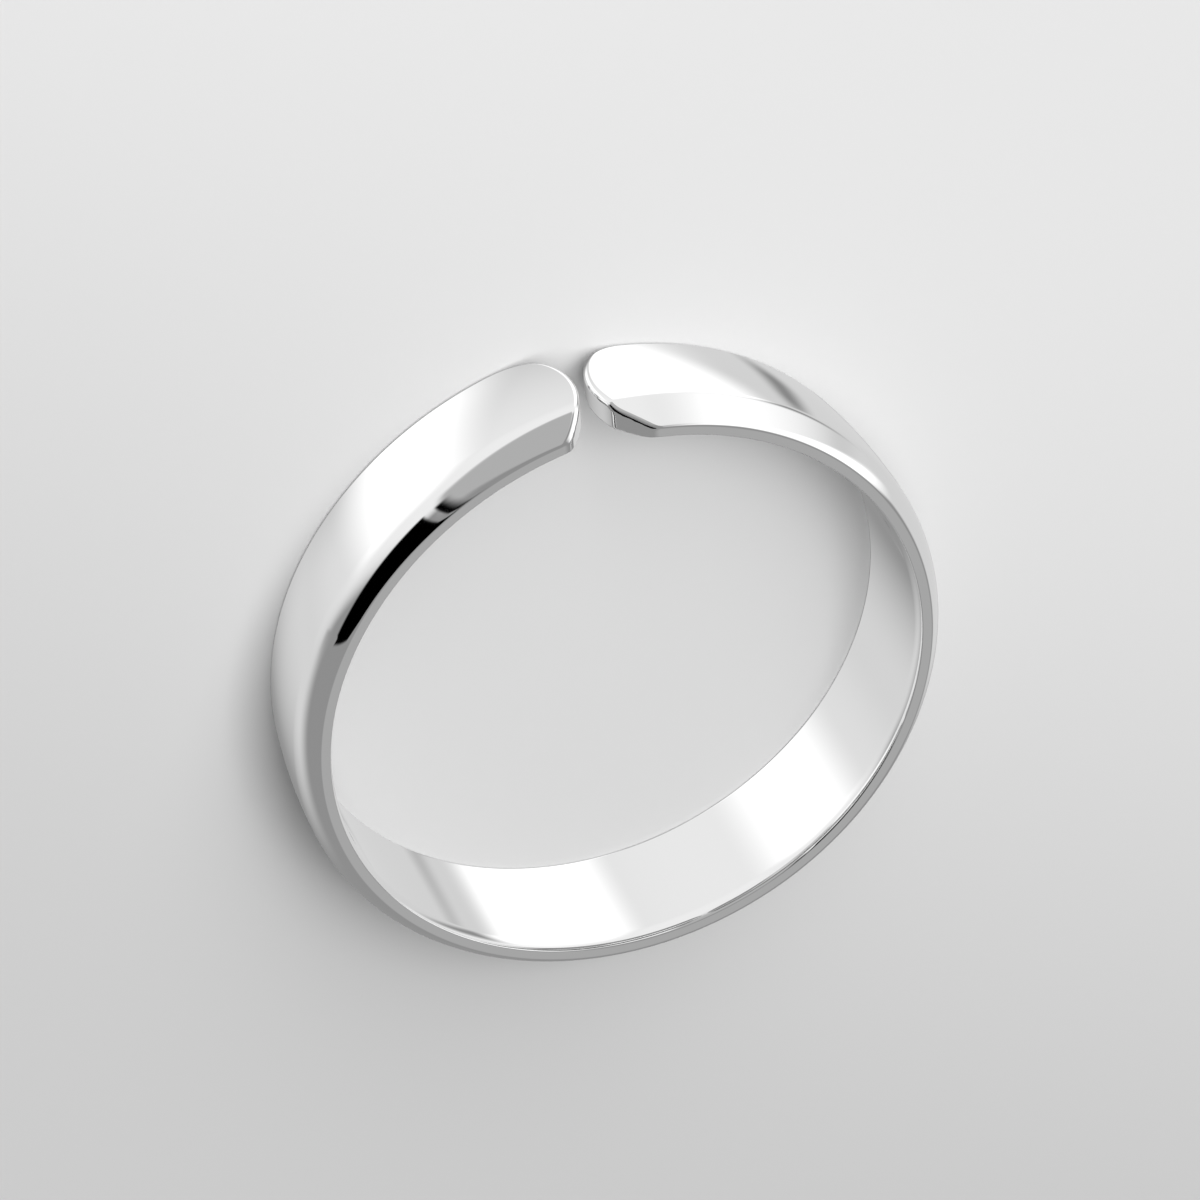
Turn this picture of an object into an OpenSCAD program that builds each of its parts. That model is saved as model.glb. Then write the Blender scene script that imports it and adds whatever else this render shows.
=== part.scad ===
// Open cuff ring: one polished band with two rounded ends that almost meet.
// The band lies on its back face. +Z is the ring's axis and the front face is up.
// The gap is on +Y. Seen from above, the left end is on the -X side of the gap.

/* [Finger hole] */
// Inner diameter of the band
finger_d = 17.4; // [15:0.1:22]
// Depth of the soft inner edge, measured back from the front face
soft_deep = 0.41; // [0.3:0.01:0.6]
// How far the soft inner edge opens outward at the front face
soft_open = 0.105; // [0.05:0.005:0.15]
// Rounding of the inner edge at the back face
inner_round = 0.1; // [0.05:0.01:0.2]

/* [Band] */
// Width of the band along the finger
band_w = 4.0; // [3.8:0.1:5]
// Thickness at the front face
rim_t = 0.41; // [0.35:0.01:0.5]
// Greatest thickness, at the crown
crown_t = 0.868; // [0.8:0.002:1]
// Distance from the front face back to the crown
crown_back = 1.05; // [0.9:0.01:1.2]
// Thickness at the back face, before its edge is rounded
heel_t = 0.58; // [0.5:0.01:0.65]
// Rounding of the outer edge at the back face
heel_round = 0.15; // [0.05:0.01:0.2]

/* [Ends] */
// Distance of the right end's tip from the middle of the gap
right_tip = 0.17; // [0.1:0.01:0.5]
// Distance of the left end's tip from the middle of the gap
left_tip = 0.2; // [0.1:0.01:0.5]
// Radius of the right end's rounding, seen square on to the gap
right_end_r = 2.6; // [2.1:0.01:2.8]
// Radius of the left end's rounding, seen square on to the gap
left_end_r = 2.7; // [2.1:0.01:2.8]
// Distance from the front face back to the tips
tip_back = 2.0; // [1.9:0.01:2.1]
// How far the left end springs outward from the round
spring_out = 0.31; // [0.1:0.01:0.4]
// Angle from the gap at which the left end starts to spring outward
spring_from = 60; // [50:5:70]

/* [Bevels] */
// Slope of the right end's bevel against the axis, in degrees
right_slope = 23.6; // [20:0.1:27]
// How fast the right bevel runs out away from the gap, as its cone's offset
right_run = 0.23; // [0.2:0.01:0.6]
// Slope of the left end's bevel against the axis, in degrees
left_slope = 29; // [26:0.1:31]
// How fast the left bevel runs out away from the gap, as its cone's offset
left_run = 0.62; // [0.4:0.01:0.9]
// Width of the front face's edge that a bevel leaves where it is deepest
rim_land = 0.01; // [0.005:0.005:0.03]

/* [Hidden] */
$fn = 180;
top_steps = 900;

bore_r = finger_d / 2;
crown_z = band_w - crown_back;
right_x = right_tip + right_end_r;
left_x = left_tip + left_end_r;
tip_z = band_w - tip_back;

// Arcs of the section. Each is tangent to the wall or arc that it leaves.
shoulder_r = (crown_back ^ 2 + (crown_t - rim_t) ^ 2) / (2 * (crown_t - rim_t));
top_r = (crown_z ^ 2 + (crown_t - heel_t) ^ 2) / (2 * (crown_t - heel_t));
soft_r = (soft_deep ^ 2 + soft_open ^ 2) / (2 * soft_open);

// The left end is an arc of larger radius that leaves the round tangentially.
spring_r = spring_out / (1 - cos(spring_from));

reach = 3 * crown_t;   // room that every cutter has beyond the metal

// Part of the section from the back face to the crown, under the wide top arc.
module top_profile(r) {
    intersection() {
        translate([r, 0]) square([reach, crown_z]);
        translate([r + crown_t - top_r, crown_z]) circle(r = top_r, $fn = top_steps);
    }
}

// Part of the section from the crown to the front face, under the shoulder's arc.
module shoulder_profile(r) {
    intersection() {
        translate([r, crown_z]) square([reach, crown_back]);
        union() {
            translate([r + crown_t - shoulder_r, crown_z]) circle(r = shoulder_r);
            translate([r, crown_z]) square([rim_t, crown_back]);
        }
    }
}

// What the soft inner edge takes off at the front.
module soft_edge_cut(r) {
    difference() {
        translate([r - reach, band_w - soft_deep]) square([reach + soft_open, soft_deep + reach]);
        translate([r + soft_r, band_w - soft_deep]) circle(r = soft_r);
    }
}

// What a rounding takes off a corner at the back face. side is 1 for an outer corner, -1 for an inner one.
module corner_cut(x, radius, side) {
    difference() {
        translate([x - (side > 0 ? radius : reach), -reach]) square([radius + reach, reach + radius]);
        translate([x - side * radius, radius]) circle(r = radius);
    }
}

// Cross-section of the band, with the bore's wall at r.
module section(r) {
    difference() {
        union() {
            top_profile(r);
            shoulder_profile(r);
        }
        soft_edge_cut(r);
        corner_cut(r, inner_round, -1);
        corner_cut(r + heel_t, heel_round, 1);
    }
}

// The two arcs of the band are drawn mirrored, with the joint between them on +X and the
// gap at spring_from, because they share one exact plane there. band() turns them back.

// Turns a cutter that is drawn with the gap on +Y to where the gap is.
module at_gap() {
    rotate([0, 0, spring_from - 90]) children();
}

// What lies between the two rounded ends. Its walls are parallel to the gap. In the mirrored
// drawing the right end is on -X.
module gap_cut() {
    difference() {
        translate([-right_x, bore_r - reach, -reach])
            cube([right_x + left_x, 3 * reach, band_w + 2 * reach]);
        translate([-right_x, bore_r - 2 * reach, tip_z])
            rotate([-90, 0, 0]) cylinder(r = right_end_r, h = 5 * reach);
        translate([left_x, bore_r - 2 * reach, tip_z])
            rotate([-90, 0, 0]) cylinder(r = left_end_r, h = 5 * reach);
    }
}

// What a bevel takes off the front edge: all that is outside a cone set off-centre, so that
// it is deepest at the gap and runs out away from it.
module bevel_cut(r, slope, run) {
    deep_r = r + rim_t + rim_land;
    translate([0, -run, band_w]) difference() {
        translate([-2 * r, r / 2, -2 * crown_back]) cube([4 * r, r, 2 * crown_back + reach]);
        translate([0, 0, -2 * reach])
            cylinder(r1 = deep_r + run + 2 * reach * tan(slope), r2 = deep_r + run - reach * tan(slope),
                     h = 3 * reach);
    }
}

// The sector from the joint to the gap, which the long arc leaves to the left end.
module left_sector() {
    translate([0, 0, -reach]) linear_extrude(band_w + 2 * reach)
        polygon([[0, 0], [2 * bore_r, 0], 2 * bore_r * [cos(spring_from), sin(spring_from)]]);
}

// The long arc, with the right end.
module long_arc() {
    difference() {
        rotate_extrude() section(bore_r);
        left_sector();
        at_gap() bevel_cut(bore_r, right_slope, right_run);
        at_gap() gap_cut();
    }
}

// The left end, about its own centre.
module left_arc() {
    difference() {
        translate([-spring_r, 0, 0]) difference() {
            rotate_extrude(angle = spring_from) section(bore_r + spring_r);
            at_gap() bevel_cut(bore_r + spring_r, left_slope, left_run);
        }
        at_gap() gap_cut();
    }
}

module band() {
    color("gainsboro") mirror([1, 0, 0]) rotate([0, 0, 90 - spring_from]) union() {
        long_arc();
        left_arc();
    }
}

band();
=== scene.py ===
"""Open cuff ring in polished, rhodium-plated sterling silver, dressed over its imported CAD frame.

The ring is one band. Its mesh is made from the same sizes as the CAD source: a closed strip of
section loops is laid out, then every vertex is moved onto the band's exact surface, where all
edges have their small polished roundings. The metal mirrors a studio of soft cards.
"""

import logging
import math
from dataclasses import dataclass, field
from enum import Enum

import bpy
import numpy as np
from mathutils import Matrix, Vector


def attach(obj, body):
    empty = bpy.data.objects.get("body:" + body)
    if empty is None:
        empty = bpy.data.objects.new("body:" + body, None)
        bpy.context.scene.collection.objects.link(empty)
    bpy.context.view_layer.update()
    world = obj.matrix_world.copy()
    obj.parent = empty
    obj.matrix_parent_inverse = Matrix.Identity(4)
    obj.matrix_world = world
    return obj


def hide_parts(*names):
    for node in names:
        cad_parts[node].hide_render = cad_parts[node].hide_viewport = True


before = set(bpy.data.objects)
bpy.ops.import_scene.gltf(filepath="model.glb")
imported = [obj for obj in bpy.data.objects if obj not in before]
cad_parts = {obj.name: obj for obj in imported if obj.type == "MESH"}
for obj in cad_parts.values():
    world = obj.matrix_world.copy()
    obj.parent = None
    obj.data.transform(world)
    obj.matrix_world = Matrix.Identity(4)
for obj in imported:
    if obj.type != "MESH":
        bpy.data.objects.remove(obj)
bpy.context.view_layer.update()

MM = 0.001
# Range in which nearly all values of a noise texture lie.
NOISE_LOW, NOISE_HIGH = 0.3, 0.7
logger = logging.getLogger("cuff_ring")


def srgb(hex_colour: str) -> tuple[float, float, float, float]:
    """Turns an sRGB hex colour such as "#F3F3F3" into linear RGBA.

    Args:
        hex_colour: Six hex digits after a hash sign.

    Returns:
        The colour as linear red, green, blue and an alpha of 1.
    """
    channels = [int(hex_colour[i:i + 2], 16) / 255 for i in (1, 3, 5)]
    linear = [c / 12.92 if c <= 0.04045 else ((c + 0.055) / 1.055) ** 2.4 for c in channels]
    return (linear[0], linear[1], linear[2], 1.0)


def direction(bearing: float, elevation: float) -> Vector:
    """Unit vector towards a place of the studio.

    Args:
        bearing: Bearing in degrees, counted from +Y towards +X.
        elevation: Elevation above the floor's plane in degrees.

    Returns:
        The vector.
    """
    bearing, elevation = math.radians(bearing), math.radians(elevation)
    return Vector((math.sin(bearing) * math.cos(elevation), math.cos(bearing) * math.cos(elevation),
                   math.sin(elevation)))


def add_node(tree: bpy.types.NodeTree, kind: str, settings: dict | None = None,
             links: dict | None = None) -> bpy.types.Node:
    """Adds one node to a tree.

    Args:
        tree: The node tree.
        kind: The node's type name.
        settings: Attribute names, or input names or numbers, with their values.
        links: Input names or numbers, with the output socket that feeds each.

    Returns:
        The new node.
    """
    node = tree.nodes.new(kind)
    for name, value in (settings or {}).items():
        if isinstance(name, str) and hasattr(node, name):
            setattr(node, name, value)
        else:
            node.inputs[name].default_value = value
    for name, socket in (links or {}).items():
        tree.links.new(socket, node.inputs[name])
    return node


class Side(Enum):
    """The two arcs of the band, each with an end at the gap."""

    RIGHT = 1
    LEFT = -1


@dataclass(frozen=True)
class PolishedSilver:
    """Sterling silver, mirror-polished and rhodium-plated."""

    name: str = "Rhodium-plated sterling silver, mirror-polished"
    # Bright, neutral white metal: it takes its tone almost wholly from what it mirrors.
    colour: str = "#F3F3F3"
    # A polishing mop leaves a soft bloom, so mirrored edges are slightly soft, not knife-sharp.
    roughness: float = 0.035
    roughness_spread: float = 0.015
    # Patches of slightly less even polish, about 2 mm across.
    patch_mm: float = 2.0
    # Hairlines of the last polish: real ones are about 0.01 mm apart. These are 0.08 mm, so that
    # they show, and run round the band.
    hairline_mm: float = 0.08
    hairline_height_mm: float = 0.00002
    hairline_strength: float = 0.5

    def build(self) -> bpy.types.Material:
        """Makes the material.

        Returns:
            The material, with roughness patches and faint hairlines round the band.
        """
        material = bpy.data.materials.new(self.name)
        material.use_nodes = True
        tree = material.node_tree
        tree.nodes.clear()
        place = add_node(tree, "ShaderNodeTexCoord")
        patches = add_node(tree, "ShaderNodeTexNoise",
                           {"Scale": 1 / (self.patch_mm * MM), "Detail": 2.0},
                           {"Vector": place.outputs["Object"]})
        rough = add_node(tree, "ShaderNodeMapRange",
                         {"From Min": NOISE_LOW, "From Max": NOISE_HIGH,
                          "To Min": self.roughness - self.roughness_spread / 2,
                          "To Max": self.roughness + self.roughness_spread / 2},
                         {"Value": patches.outputs["Fac"]})
        parts = add_node(tree, "ShaderNodeSeparateXYZ", links={0: place.outputs["Object"]})
        radius = add_node(tree, "ShaderNodeVectorMath", {"operation": "LENGTH"},
                          {0: add_node(tree, "ShaderNodeCombineXYZ", links={
                              0: parts.outputs["X"], 1: parts.outputs["Y"]}).outputs[0]})
        across = add_node(tree, "ShaderNodeCombineXYZ", links={
            0: radius.outputs["Value"], 2: parts.outputs["Z"]})
        hairlines = add_node(tree, "ShaderNodeTexNoise",
                             {"Scale": 1 / (self.hairline_mm * MM), "Detail": 1.0},
                             {"Vector": across.outputs[0]})
        bump = add_node(tree, "ShaderNodeBump",
                        {"Strength": self.hairline_strength, "Distance": self.hairline_height_mm * MM},
                        {"Height": hairlines.outputs["Fac"]})
        shader = add_node(tree, "ShaderNodeBsdfPrincipled",
                          {"Base Color": srgb(self.colour), "Metallic": 1.0},
                          {"Roughness": rough.outputs["Result"], "Normal": bump.outputs["Normal"]})
        add_node(tree, "ShaderNodeOutputMaterial", links={"Surface": shader.outputs["BSDF"]})
        return material


@dataclass(frozen=True)
class PaleStudioFloor:
    """Matt, pale grey studio paper whose colour goes from lighter to darker across the floor: a painted
    falloff of light.
    """

    name: str = "Pale grey studio paper, matt, painted light falloff"
    # Painted lit end: light neutral grey, a little darker than the lit metal; and the painted shaded end.
    painted_lit_colour: str = "#DCDCDC"
    painted_shade_colour: str = "#CACACA"
    # Bearing of the painted lit end, counted from +Y towards +X, and how far each end is from the ring.
    bearing: float = 40.0
    reach_mm: float = 18.0
    roughness: float = 0.9

    def build(self) -> bpy.types.Material:
        """Makes the material.

        Returns:
            The material.
        """
        material = bpy.data.materials.new(self.name)
        material.use_nodes = True
        tree = material.node_tree
        shader = tree.nodes["Principled BSDF"]
        shader.inputs["Roughness"].default_value = self.roughness
        # Painted light: the colour is lighter towards the bearing and darker away from it, a falloff of light
        # painted into the floor.
        bearing = math.radians(self.bearing)
        place = add_node(tree, "ShaderNodeTexCoord")
        towards_light = (math.sin(bearing), math.cos(bearing), 0)
        distance = add_node(tree, "ShaderNodeVectorMath", {"operation": "DOT_PRODUCT", 1: towards_light},
                            {0: place.outputs["Object"]})
        share = add_node(tree, "ShaderNodeMapRange",
                         {"interpolation_type": "SMOOTHSTEP", "From Min": -self.reach_mm * MM,
                          "From Max": self.reach_mm * MM},
                         {"Value": distance.outputs["Value"]})
        # Inputs 6 and 7 of a colour mix are its two colours, and output 2 is the mixed one.
        mix = add_node(tree, "ShaderNodeMix",
                       {"data_type": "RGBA", 6: srgb(self.painted_shade_colour), 7: srgb(self.painted_lit_colour)},
                       {0: share.outputs["Result"]})
        tree.links.new(mix.outputs[2], shader.inputs["Base Color"])
        return material


@dataclass(frozen=True)
class Span:
    """Extent of a card in one direction, for a card 1 m away. All sizes are in m."""

    # Where it starts and stops, counted from the card's facing point.
    start: float
    stop: float
    # Widths over which its two edges fade out.
    start_fade: float
    stop_fade: float

    def build(self, tree: bpy.types.NodeTree, offset: bpy.types.NodeSocket) -> bpy.types.NodeSocket:
        """Adds the share of the card at an offset.

        Args:
            tree: The world's node tree.
            offset: Offset from the card's facing point.

        Returns:
            The share, from 0 beside the card to 1 on it.
        """
        edges = ((self.start - self.start_fade / 2, self.start + self.start_fade / 2),
                 (self.stop + self.stop_fade / 2, self.stop - self.stop_fade / 2))
        rise, fall = (
            add_node(tree, "ShaderNodeMapRange",
                     {"interpolation_type": "SMOOTHSTEP", "From Min": unlit, "From Max": lit},
                     {"Value": offset}).outputs["Result"]
            for unlit, lit in edges)
        return add_node(tree, "ShaderNodeMath", {"operation": "MULTIPLY"}, {0: rise, 1: fall}).outputs[0]


@dataclass(frozen=True)
class Card:
    """One soft-edged rectangular panel of the studio, as the ring sees it."""

    name: str
    # Bearing of its facing point, where it stands square to the ring, counted from +Y towards +X,
    # that point's elevation, and the card's turn in its own plane, in degrees.
    bearing: float
    elevation: float
    turn: float
    across: Span
    along: Span
    # Brightness, where white paper in full light has 1.
    light: float
    # Smallest share of a ray that points towards the card: a card ends before it is seen edge-on.
    least_depth: float = 0.001

    def axes(self) -> tuple[Vector, Vector, Vector]:
        """Directions of the card, as unit vectors.

        Returns:
            Towards it, across it and along it.
        """
        towards = direction(self.bearing, self.elevation)
        bearing = math.radians(self.bearing)
        level = Vector((math.cos(bearing), -math.sin(bearing), 0))
        steep = level.cross(towards)
        turn = math.radians(self.turn)
        return (towards, math.cos(turn) * level + math.sin(turn) * steep,
                math.cos(turn) * steep - math.sin(turn) * level)

    def build(self, tree: bpy.types.NodeTree, ray: bpy.types.NodeSocket,
              behind: bpy.types.NodeSocket | None, base: float) -> bpy.types.NodeSocket:
        """Adds the card in front of what is already there.

        Args:
            tree: The world's node tree.
            ray: Direction in which the light is looked up.
            behind: Brightness of what is behind the card, or None for the bare tent.
            base: Brightness of the bare tent.

        Returns:
            The brightness with the card in front.
        """
        depth, across, along = (
            add_node(tree, "ShaderNodeVectorMath", {"operation": "DOT_PRODUCT", 1: axis},
                     {0: ray}).outputs["Value"]
            for axis in self.axes())
        seen = add_node(tree, "ShaderNodeMath", {"operation": "GREATER_THAN", 1: self.least_depth},
                        {0: depth}).outputs[0]
        depth = add_node(tree, "ShaderNodeMath", {"operation": "MAXIMUM", 1: self.least_depth},
                         {0: depth}).outputs[0]
        for span, offset in ((self.across, across), (self.along, along)):
            offset = add_node(tree, "ShaderNodeMath", {"operation": "DIVIDE"},
                              {0: offset, 1: depth}).outputs[0]
            seen = add_node(tree, "ShaderNodeMath", {"operation": "MULTIPLY"},
                            {0: seen, 1: span.build(tree, offset)}).outputs[0]
        # Inputs 2 and 3 of a float mix are its two values.
        mix = add_node(tree, "ShaderNodeMix",
                       {"data_type": "FLOAT", "label": self.name, 2: base, 3: self.light}, {0: seen})
        if behind:
            tree.links.new(behind, mix.inputs[2])
        return mix.outputs[0]


# The studio's cards, from the hindmost to the foremost, set against what the photograph's ring mirrors.
# Columns: name, bearing, elevation, turn, span across, span along, light. A span has its start, its stop, and
# the fades of the two.
CARDS = (
    # The wall and the wide light sweep give the bore and the top face their pale grey.
    Card("left wall", -118, -45, 0, Span(-0.4, 0.6, 0.8, 0.8), Span(-0.5, 0.5, 0.6, 0.6), 0.72),
    Card("light sweep", -15, -40, 0, Span(-1.7, 1.7, 1.6, 1.6), Span(-0.7, 1.3, 1.6, 1.0), 0.94),
    # What the flat front rim mirrors.
    Card("ceiling", 160, 50, 0, Span(-0.4, 0.4, 0.6, 0.6), Span(-0.4, 0.4, 0.6, 0.6), 0.42),
    # Two white softboxes give the top face and the bore their bright bands.
    Card("low left softbox", -56, -55, 0, Span(-0.2, 0.25, 0.3, 0.3), Span(-0.5, 0.5, 0.5, 0.5), 1.3),
    Card("low right softbox", 48, -50, 20, Span(-0.26, 0.4, 0.2, 0.2), Span(-0.5, 0.5, 0.5, 0.5), 1.3),
    Card("right wall", 118, -30, 0, Span(-0.5, 0.45, 0.3, 0.3), Span(-0.8, 0.8, 0.5, 0.5), 0.7),
    # The softbox at the right end's bevel, which goes from grey to white along it.
    Card("right softbox", 64, 8, 0, Span(-0.5, 0.7, 0.5, 0.3), Span(-0.5, 0.5, 0.5, 0.5), 1.3),
    # The frame of the low right softbox draws a soft dark line across the right end.
    Card("softbox frame", 106, -53, -30, Span(-0.12, 0.12, 0.15, 0.15), Span(-0.02, 0.02, 0.09, 0.09), 0.05),
    # The grey of the left end's bevel.
    Card("grey card", -18, 12, 0, Span(-0.42, 0.42, 0.12, 0.12), Span(-0.35, 0.35, 0.3, 0.3), 0.47),
    # Two black flags, nearly edge to edge, give the left shoulder its black band with a light slit.
    Card("black flag", -70, 0, 0, Span(-0.34, 0.44, 0.03, 0.03), Span(0.06, 4, 0.08, 0.08), 0.0),
    Card("narrow black flag", -42, 0, 0, Span(-0.01, 0.07, 0.02, 0.1), Span(0.1, 4, 0.12, 0.12), 0.0),
)


def round_max(a: np.ndarray, b: np.ndarray, radius: np.ndarray | float) -> np.ndarray:
    """Intersection of two solids with a round edge, both given as distances from their surface.

    Args:
        a: Distance outside the first solid, negative within.
        b: Distance outside the second solid, negative within.
        radius: Radius of the edge.

    Returns:
        Distance outside the intersection.
    """
    corner = np.hypot(np.maximum(a + radius, 0), np.maximum(b + radius, 0))
    return np.minimum(np.maximum(a, b), -radius) + corner


def soft_max(a: np.ndarray, b: np.ndarray, width: float) -> np.ndarray:
    """Intersection of two solids that meet at a blunt angle, blended over a small width.

    Args:
        a: Distance outside the first solid, negative within.
        b: Distance outside the second solid, negative within.
        width: Difference of distance over which they blend.

    Returns:
        Distance outside the intersection.
    """
    return np.maximum(a, b) + np.maximum(width - np.abs(a - b), 0) ** 2 / (4 * width)


def spaced(points: list[tuple[float, int]]) -> np.ndarray:
    """Values that run from the first stop to the last, evenly within each stretch.

    Args:
        points: Pairs of a stop and the number of steps that lead to it. The first has 0 steps.

    Returns:
        The values.
    """
    values = [points[0][0]]
    for (start, _), (stop, steps) in zip(points, points[1:]):
        values += list(np.linspace(start, stop, steps + 1)[1:])
    return np.array(values)


@dataclass(frozen=True)
class EndShape:
    """Outline of one end, seen square on to the gap. All sizes are in mm."""

    # Distance of the tip from the middle of the gap, and the radius of its arc.
    tip: float
    radius: float
    # Height of the arc's middle above the back face.
    middle: float
    # Rounding of the corner at the back face, and of the edge to the top face.
    back_corner: float
    edge: float


@dataclass
class Band:
    """The ring itself, in mm. Down to rim_land the sizes are those of the CAD source, bar the facet."""

    finger_d: float = 17.4
    soft_deep: float = 0.41
    soft_open: float = 0.105
    inner_round: float = 0.1
    band_w: float = 4.0
    rim_t: float = 0.41
    crown_t: float = 0.868
    crown_back: float = 1.05
    heel_t: float = 0.58
    heel_round: float = 0.15
    right_end: EndShape = EndShape(0.17, 2.6, 2.0, 0.45, 0.2)
    left_end: EndShape = EndShape(0.2, 2.7, 2.0, 0.7, 0.18)
    # The right end's front corner is cut off flat from this distance from the gap, at this slope.
    # This facet isn't in the CAD source, and neither are the ends' back_corner and edge.
    facet_from: float = 1.37
    facet_slope: float = 39.5
    spring_out: float = 0.31
    spring_from: float = 60.0
    right_slope: float = 23.6
    right_run: float = 0.23
    left_slope: float = 29.0
    left_run: float = 0.62
    rim_land: float = 0.01
    # Roundings that polishing leaves, too small for the CAD source.
    rim_edge: float = 0.02
    ridge_blend: float = 0.02
    bevel_edge: float = 0.16
    end_front: float = 0.12
    facet_blend: float = 0.08
    # What the last polish takes off the top face.
    polish: float = 0.003
    # Depths below the front face between which the bore's edge grows from rim_edge to inner_round.
    inner_edge_from: float = 0.1
    inner_edge_to: float = 0.6
    # An end's rounding fades out beyond this share of the distance to its arc's middle, and far
    # from the gap it counts as this far inside the metal.
    end_reach: float = 0.75
    far_inside: float = -9.0
    # Section loops bend to an end's outline up to this angle from the gap, and then stand straight,
    # with this angle between them. Both are in degrees.
    bent_to: float = 24.0
    loop_step: float = 0.75
    finish: PolishedSilver = field(default_factory=PolishedSilver)

    def __post_init__(self) -> None:
        """Works out the sizes that follow from the others."""
        drop = self.crown_t - self.rim_t
        self.bore_r = self.finger_d / 2
        self.crown_z = self.band_w - self.crown_back
        self.shoulder_r = (self.crown_back ** 2 + drop ** 2) / (2 * drop)
        drop = self.crown_t - self.heel_t
        self.top_r = (self.crown_z ** 2 + drop ** 2) / (2 * drop)
        self.soft_r = (self.soft_deep ** 2 + self.soft_open ** 2) / (2 * self.soft_open)
        angle = math.radians(self.spring_from)
        self.spring_r = self.spring_out / (1 - math.cos(angle))
        self.left_x = self.spring_r * math.sin(angle)
        self.left_y = -self.spring_r * math.cos(angle)

    def height(self, points: np.ndarray, left: np.ndarray) -> np.ndarray:
        """Height of points above the bore's wall.

        Args:
            points: Places in mm, one a row.
            left: True for points of the left arc.

        Returns:
            The heights.
        """
        x = points[:, 0] - np.where(left, self.left_x, 0)
        y = points[:, 1] - np.where(left, self.left_y, 0)
        return np.hypot(x, y) - self.bore_r - np.where(left, self.spring_r, 0)

    def bevel(self, points: np.ndarray, side: Side) -> np.ndarray:
        """Distance outside the cone that bevels one end.

        Args:
            points: Places in mm, one a row.
            side: The end.

        Returns:
            The distances, negative within the cone.
        """
        is_left = side is Side.LEFT
        slope = math.radians(self.left_slope if is_left else self.right_slope)
        run = self.left_run if is_left else self.right_run
        radius = self.bore_r + self.rim_t + self.rim_land + (self.spring_r if is_left else 0)
        x = points[:, 0] - (self.left_x if is_left else 0)
        y = points[:, 1] - (self.left_y if is_left else 0)
        out = np.hypot(x, y + run) - radius - run
        return out * math.cos(slope) - (self.band_w - points[:, 2]) * math.sin(slope)

    def outside(self, points: np.ndarray, left: np.ndarray) -> np.ndarray:
        """Distance outside the finished band.

        Args:
            points: Places in mm, one a row.
            left: True for points of the left arc.

        Returns:
            The distances, negative within the metal.
        """
        z = points[:, 2]
        h = self.height(points, left)
        shoulder = np.hypot(h - self.crown_t + self.shoulder_r, z - self.crown_z) - self.shoulder_r
        dome = np.hypot(h - self.crown_t + self.top_r, z - self.crown_z) - self.top_r
        top = np.where(z > self.crown_z, shoulder, dome) + self.polish
        soft = np.hypot(h - self.soft_r, z - self.band_w + self.soft_deep) - self.soft_r
        inner = np.where(z > self.band_w - self.soft_deep, soft, -h)
        end = np.where(left, self.end(points, Side.LEFT), self.end(points, Side.RIGHT))
        corner = np.where(left, self.left_end.back_corner, self.right_end.back_corner)
        # The edge's rounding runs over from the end's to the heel's within the back corner.
        share = np.clip((-z - end) / (2 * corner) + 0.5, 0, 1)
        share = share * share * (3 - 2 * share)
        end_edge = np.where(left, self.left_end.edge, self.right_end.edge)
        edge = (1 - share) * end_edge + share * self.heel_round
        outline = round_max(end, -z, corner)
        front = round_max(z - self.band_w, end, self.end_front)
        body = round_max(round_max(top, outline, edge), front, self.rim_edge)
        cone = np.where(left, self.bevel(points, Side.LEFT), self.bevel(points, Side.RIGHT)) + self.polish
        cone = np.where(points[:, 1] > 0, cone, self.far_inside)
        cone = round_max(round_max(cone, end, self.bevel_edge), front, self.rim_edge)
        inner_edge = np.interp(z, [self.band_w - self.inner_edge_to, self.band_w - self.inner_edge_from],
                               [self.inner_round, self.rim_edge])
        return round_max(soft_max(body, cone, self.ridge_blend), inner, inner_edge)

    def end(self, points: np.ndarray, side: Side) -> np.ndarray:
        """Distance outside the rounding of one end.

        Args:
            points: Places in mm, one a row.
            side: The end.

        Returns:
            The distances, negative within the rounding.
        """
        shape = self.left_end if side is Side.LEFT else self.right_end
        z = points[:, 2]
        from_gap = np.abs(points[:, 0])
        middle = shape.tip + shape.radius
        end = np.hypot(np.maximum(middle - from_gap, 0), z - shape.middle) - shape.radius
        if side is Side.RIGHT:
            slope = math.radians(self.facet_slope)
            facet = (self.facet_from - from_gap) * math.sin(slope) + (z - self.band_w) * math.cos(slope)
            end = soft_max(end, facet, self.facet_blend)
        # Well away from the gap the rounding has no say.
        fading = end - np.maximum(from_gap - self.end_reach * middle, 0)
        return np.where(points[:, 1] > 0, fading, self.far_inside)

    def gradient(self, points: np.ndarray, left: np.ndarray) -> np.ndarray:
        """Direction in which the distance outside the band grows.

        Args:
            points: Places in mm, one a row.
            left: True for points of the left arc.

        Returns:
            One vector a row, not of unit length.
        """
        step = 1e-5
        slopes = []
        for axis in np.eye(3) * step:
            ahead, behind = self.outside(points + axis, left), self.outside(points - axis, left)
            slopes.append((ahead - behind) / (2 * step))
        return np.stack(slopes, axis=1)

    def settle(self, points: np.ndarray, left: np.ndarray) -> tuple[np.ndarray, np.ndarray]:
        """Moves points onto the band's surface.

        Args:
            points: Places in mm near the surface, one a row.
            left: True for points of the left arc.

        Returns:
            The places on the surface, and the surface's unit normals there.
        """
        rounds, least_slope, longest_move = 12, 0.5, 0.1
        for _ in range(rounds):
            slope = self.gradient(points, left)
            move = self.outside(points, left) / np.maximum((slope ** 2).sum(1), least_slope ** 2)
            points = points - np.clip(move, -longest_move, longest_move)[:, None] * slope
        slope = self.gradient(points, left)
        return points, slope / np.linalg.norm(slope, axis=1)[:, None]

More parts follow.
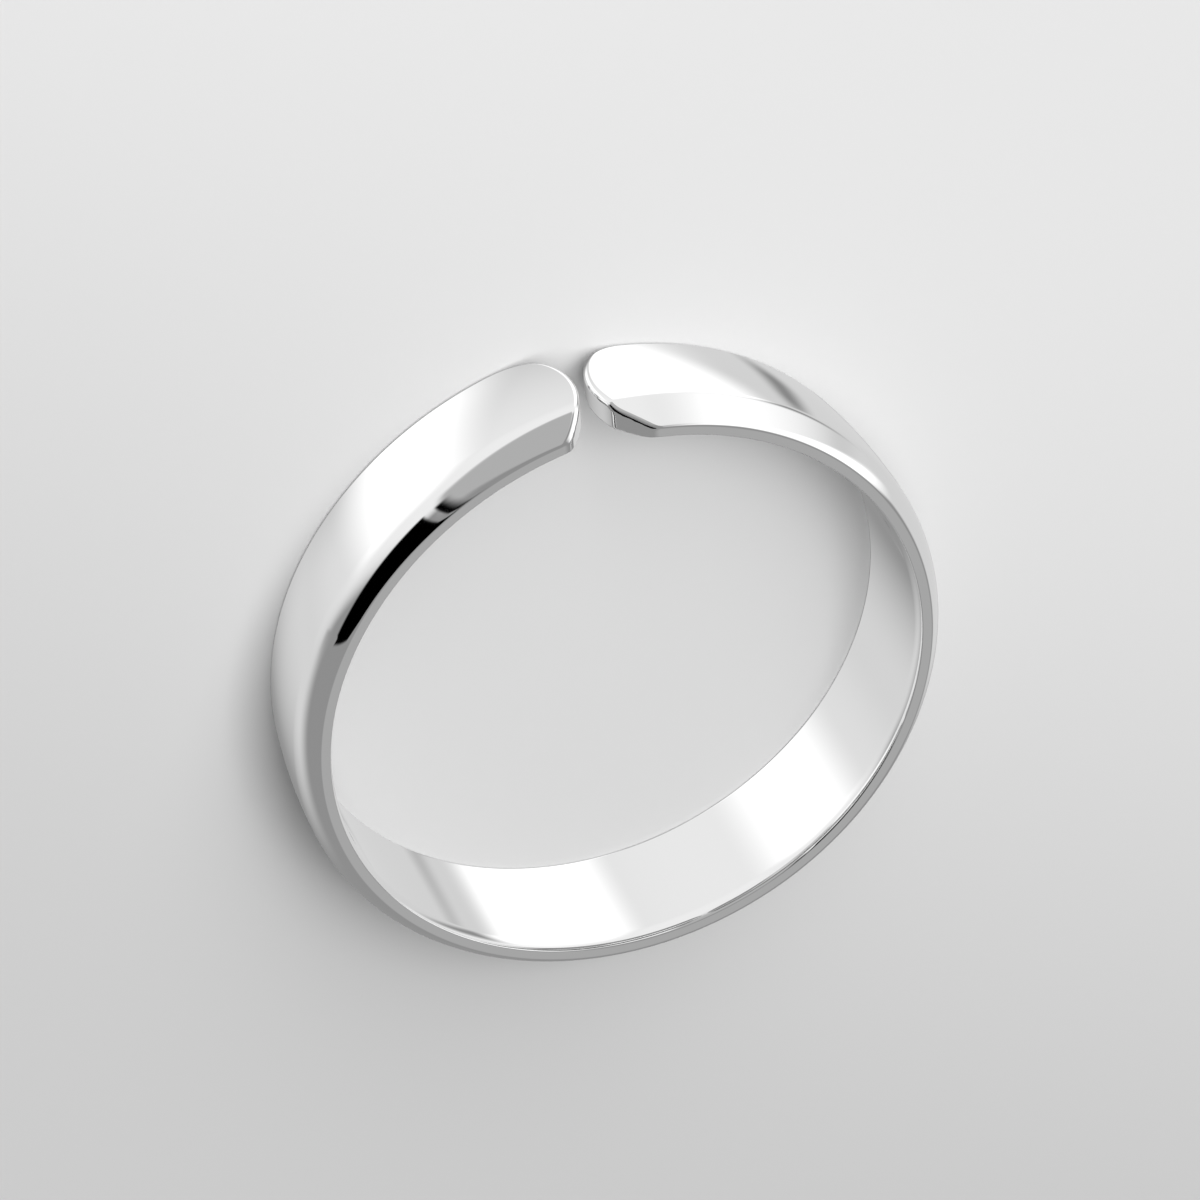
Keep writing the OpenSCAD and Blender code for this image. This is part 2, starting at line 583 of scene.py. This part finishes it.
    def loop(self) -> tuple[np.ndarray, np.ndarray]:
        """Places round one section loop.

        Returns:
            Across the width (0 at the back, 1 at the front) and through the thickness (0 at the
            bore, 1 at the top), for every place of the loop, starting at the back of the top.
        """
        wide = self.across()
        thick = self.through()
        top = [(v, 1.0) for v in wide]
        front = [(1.0, t) for t in thick[::-1][1:]]
        bore = [(v, 0.0) for v in wide[::-1][1:]]
        back = [(0.0, t) for t in thick[1:-1]]
        places = np.array(top + front + bore + back)
        return places[:, 0], places[:, 1]

    def across(self) -> np.ndarray:
        """Rows across the width, closer together at the edges and over the shoulder."""
        return spaced([(0, 0), (0.012, 2), (0.05, 5), (0.12, 3), (0.5, 10), (0.7, 8), (0.93, 26),
                       (0.985, 8), (1, 4)])

    def through(self) -> np.ndarray:
        """Rows through the thickness, closer together at the edges."""
        return spaced([(0, 0), (0.03, 1), (0.2, 6), (0.4, 3), (0.7, 3), (0.9, 5), (1, 3)])

    def columns(self) -> list[tuple[Side, float, float]]:
        """Columns along the band, from the right end's tip to the left end's.

        Returns:
            For each column its arc, its angle from the gap in degrees, and how far it has bent
            to the end's outline (0 straight, 1 at the tip).
        """
        bends = spaced([(1, 0), (0.99, 2), (0.9, 8), (0.6, 16), (0, 24)])
        right = [(Side.RIGHT, self.bent_to, bend) for bend in bends]
        # The last loop of a stretch stays clear of the next stretch's first by over half a step.
        clear = 0.4
        stop = 360 - self.spring_from - clear
        straight = np.arange(self.bent_to + self.loop_step, stop, self.loop_step)
        right += [(Side.RIGHT, angle, 0.0) for angle in straight]
        straight = np.arange(self.spring_from, self.bent_to + clear, -self.loop_step)
        left = [(Side.LEFT, angle, 0.0) for angle in straight]
        left += [(Side.LEFT, self.bent_to, bend) for bend in bends[::-1]]
        return right + left

    def column(self, side: Side, angle: float, bend: float, v: np.ndarray, t: np.ndarray) -> np.ndarray:
        """First places of one section loop, near the surface.

        Args:
            side: The arc that the loop is on.
            angle: Angle of the straight loop from the gap, about the arc's centre, in degrees.
            bend: How far the loop has bent to the end's outline.
            v: Across the width.
            t: Through the thickness.

        Returns:
            Places in mm, one a row.
        """
        is_left = side is Side.LEFT
        grown = self.spring_r if is_left else 0.0
        centre_x = -self.left_x if is_left else 0.0
        centre_y = self.left_y if is_left else 0.0
        shape = self.left_end if is_left else self.right_end
        low = math.asin(-shape.middle / shape.radius)
        high = math.asin((self.band_w - shape.middle) / shape.radius)
        turn = low + (high - low) * v
        tip_x = shape.tip + shape.radius * (1 - np.cos(turn))
        tip_z = shape.middle + shape.radius * np.sin(turn)
        radius = self.bore_r + grown + self.crown_t * t
        middle = self.bore_r + grown + self.crown_t / 2
        start_x = centre_x + middle * math.sin(math.radians(angle))
        x = (1 - bend) * start_x + bend * tip_x
        z = (1 - bend) * v * self.band_w + bend * tip_z
        swing = np.full_like(v, math.radians(angle))
        if bend > 0:
            swing = bend * np.arcsin((x - centre_x) / radius) + (1 - bend) * np.arcsin((x - centre_x) / middle)
        return np.stack([side.value * (centre_x + radius * np.sin(swing)),
                         centre_y + radius * np.cos(swing), z], axis=1)

    def build(self) -> bpy.types.Object:
        """Makes the band's mesh and dresses it.

        Returns:
            The finished piece.
        """
        v, t = self.loop()
        columns = self.columns()
        places = [self.column(side, angle, bend, v, t) for side, angle, bend in columns]
        left = [np.full(len(v), side is Side.LEFT) for side, _, _ in columns]
        ring = len(v)
        faces = [(i * ring + j, i * ring + (j + 1) % ring,
                  (i + 1) * ring + (j + 1) % ring, (i + 1) * ring + j)
                 for i in range(len(columns) - 1) for j in range(ring)]
        total = len(columns) * ring
        for index in (0, len(columns) - 1):
            inner_v, inner_t, cap_faces = self.cap(index * ring, total)
            places.append(self.column(*columns[index], inner_v, inner_t))
            left.append(np.full(len(inner_v), columns[index][0] is Side.LEFT))
            faces += cap_faces
            total += len(inner_v)
        points, normals = self.settle(np.concatenate(places), np.concatenate(left))
        mesh = bpy.data.meshes.new("band")
        mesh.from_pydata((points * MM).tolist(), [], faces)
        self.turn_faces_out(mesh, normals)
        mesh.shade_smooth()
        mesh.normals_split_custom_set_from_vertices(normals.tolist())
        piece = bpy.data.objects.new("band_polished", mesh)
        bpy.context.scene.collection.objects.link(piece)
        piece.data.materials.append(self.finish.build())
        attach(piece, "root")
        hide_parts("band")
        return piece

    def cap(self, start: int, total: int) -> tuple[np.ndarray, np.ndarray, list[tuple[int, ...]]]:
        """Grid that closes the band at a tip.

        Args:
            start: Number of the tip loop's first vertex.
            total: Number of the first new vertex.

        Returns:
            Across and through for the new vertices, and the faces.
        """
        wide, thick = self.across(), self.through()
        n, m = len(wide), len(thick)
        number = np.full((n, m), -1)
        number[:, m - 1] = start + np.arange(n)
        number[n - 1, ::-1] = start + n - 1 + np.arange(m)
        number[::-1, 0] = start + n + m - 2 + np.arange(n)
        number[0, 1:m - 1] = start + 2 * n + m - 3 + np.arange(m - 2)
        inside = np.argwhere(number < 0)
        number[inside[:, 0], inside[:, 1]] = total + np.arange(len(inside))
        faces = [(number[i, j], number[i + 1, j], number[i + 1, j + 1], number[i, j + 1])
                 for i in range(n - 1) for j in range(m - 1)]
        return wide[inside[:, 0]], thick[inside[:, 1]], [tuple(int(k) for k in f) for f in faces]

    @staticmethod
    def turn_faces_out(mesh: bpy.types.Mesh, normals: np.ndarray) -> None:
        """Turns round the faces that point into the metal.

        Args:
            mesh: The band's mesh.
            normals: The surface's unit normal at each vertex.
        """
        for polygon in mesh.polygons:
            outward = normals[list(polygon.vertices)].sum(0)
            if polygon.normal.dot(Vector(outward)) < 0:
                polygon.flip()
        mesh.update()


@dataclass(frozen=True)
class Softbox:
    """A square softbox that lights the floor. The metal mirrors the cards and not this."""

    name: str
    # Bearing from the ring, counted from +Y towards +X, and elevation, in degrees.
    bearing: float
    elevation: float
    # Distance from the ring and side, in m, and power in watts.
    distance: float
    side: float
    watts: float

    def build(self) -> bpy.types.Object:
        """Adds the light.

        Returns:
            The light, turned to the ring.
        """
        data = bpy.data.lights.new(self.name, "AREA")
        data.shape, data.size, data.energy = "SQUARE", self.side, self.watts
        light = bpy.data.objects.new(self.name, data)
        towards = direction(self.bearing, self.elevation)
        light.location = towards * self.distance
        light.rotation_mode = "QUATERNION"
        light.rotation_quaternion = towards.to_track_quat("Z", "Y")
        light.visible_glossy = light.visible_camera = False
        bpy.context.scene.collection.objects.link(light)
        return light


@dataclass
class Studio:
    """Floor, soft light and the camera."""

    floor_size: float = 1.2
    floor_finish: PaleStudioFloor = field(default_factory=PaleStudioFloor)
    # The camera looks at this place, in mm, from this distance, with a long lens.
    target_mm: tuple[float, float, float] = (-0.018, 2.057, 2.0)
    distance_mm: float = 268.75
    # Bearing in which the camera looks, counted from +Y towards +X, its elevation and its roll.
    bearing: float = 160.03
    elevation: float = 49.26
    roll: float = 149.31
    lens: float = 287.6
    # Light that the floor gets from all round, and the brightness of the bare tent in the metal.
    fill: float = 0.15
    tent: float = 0.3
    # Leans from the gap's side, so that the ring's upper edge has no bright rim of floor round it.
    overhead: Softbox = Softbox("overhead softbox", 5.0, 66.0, 0.4, 0.25, 1.34)
    # The key stands lower on the gap's side. It draws the ring's soft shadow on the floor.
    key: Softbox = Softbox("key softbox", 15.0, 36.0, 0.4, 0.3, 0.8)

    def build_floor(self) -> bpy.types.Object:
        """Makes the floor.

        Returns:
            The floor.
        """
        half = self.floor_size / 2
        mesh = bpy.data.meshes.new("floor")
        corners = [(-half, -half, 0), (half, -half, 0), (half, half, 0), (-half, half, 0)]
        mesh.from_pydata(corners, [], [(0, 1, 2, 3)])
        floor = bpy.data.objects.new("floor", mesh)
        floor.data.materials.append(self.floor_finish.build())
        bpy.context.scene.collection.objects.link(floor)
        # The metal mirrors the cards below it as well, as it does where it stands on a clear base.
        floor.visible_glossy = False
        return floor

    def build_world(self) -> bpy.types.World:
        """Makes the tent: even light for the floor, and soft cards that the metal mirrors.

        Returns:
            The world.
        """
        white = (1, 1, 1, 1)
        world = bpy.data.worlds.new("Studio tent with cards")
        world.use_nodes = True
        tree = world.node_tree
        tree.nodes.clear()
        ray = add_node(tree, "ShaderNodeTexCoord").outputs["Generated"]
        light = None
        for card in CARDS:
            light = card.build(tree, ray, light, self.tent)
        mirrored = add_node(tree, "ShaderNodeBackground", {"Color": white}, {"Strength": light})
        even = add_node(tree, "ShaderNodeBackground", {"Color": white, "Strength": self.fill})
        path = add_node(tree, "ShaderNodeLightPath")
        mix = add_node(tree, "ShaderNodeMixShader", links={
            0: path.outputs["Is Glossy Ray"], 1: even.outputs[0], 2: mirrored.outputs[0]})
        add_node(tree, "ShaderNodeOutputWorld", links={"Surface": mix.outputs[0]})
        bpy.context.scene.world = world
        return world

    def build_camera(self) -> bpy.types.Object:
        """Places the camera at the photograph's angle.

        Returns:
            The camera, set as the scene's own.
        """
        data = bpy.data.cameras.new("camera")
        data.lens = self.lens
        data.clip_start, data.clip_end = 0.01, 10.0
        camera = bpy.data.objects.new("camera", data)
        bpy.context.scene.collection.objects.link(camera)
        forward = direction(self.bearing, -self.elevation)
        roll = Matrix.Rotation(math.radians(self.roll), 3, "Z").to_quaternion()
        camera.rotation_mode = "QUATERNION"
        camera.rotation_quaternion = forward.to_track_quat("-Z", "Y") @ roll
        camera.location = (Vector(self.target_mm) - forward * self.distance_mm) * MM
        bpy.context.scene.camera = camera
        return camera


def main() -> None:
    """Builds the ring and its studio, and reports each piece."""
    logging.basicConfig(level=logging.INFO, format="%(name)s: %(message)s")
    piece = Band().build()
    logger.info("%s: %d vertices", piece.name, len(piece.data.vertices))
    studio = Studio()
    studio.build_floor()
    studio.build_world()
    studio.overhead.build()
    studio.key.build()
    studio.build_camera()
    bpy.context.scene.view_settings.view_transform = "Standard"


if __name__ == "__main__":
    main()
